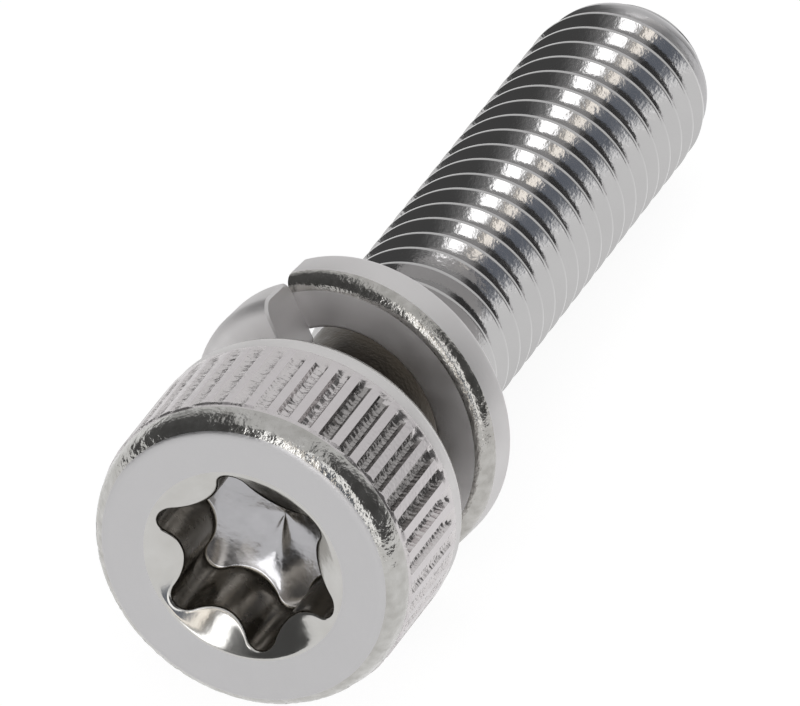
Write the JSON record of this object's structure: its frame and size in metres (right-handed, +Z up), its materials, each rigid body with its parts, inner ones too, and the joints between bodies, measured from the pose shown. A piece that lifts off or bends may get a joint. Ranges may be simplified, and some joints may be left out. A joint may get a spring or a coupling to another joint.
{
  "type": "socket cap screw",
  "caption": "Cap screw with a knurled cylindrical head, a hexalobular drive socket and a loose split spring washer on its shank, for fastening a sensor.",
  "frame": {"origin": "on the ground, under the middle of the box around the screw as it lies at rest", "axes": "+X from the head to the end of the screw, +Z up, so the screw's axis runs a little downhill"},
  "size_m": [0.027, 0.0086, 0.0089],
  "materials": {
    "screw_steel": "bright stainless steel, cold formed, with a rolled thread",
    "washer_steel": "satin stainless spring steel, tumbled edges"
  },
  "bodies": {
    "screw": {"screw": "screw_steel"},
    "spring_washer": {"spring_washer": "washer_steel"}
  },
  "joints": [
    {"name": "washer_slide", "type": "slide", "parent": "screw", "child": "spring_washer", "axis": [0.9964, 0, -0.0852], "range_m": [-0.0012, 0.0004]}
  ]
}
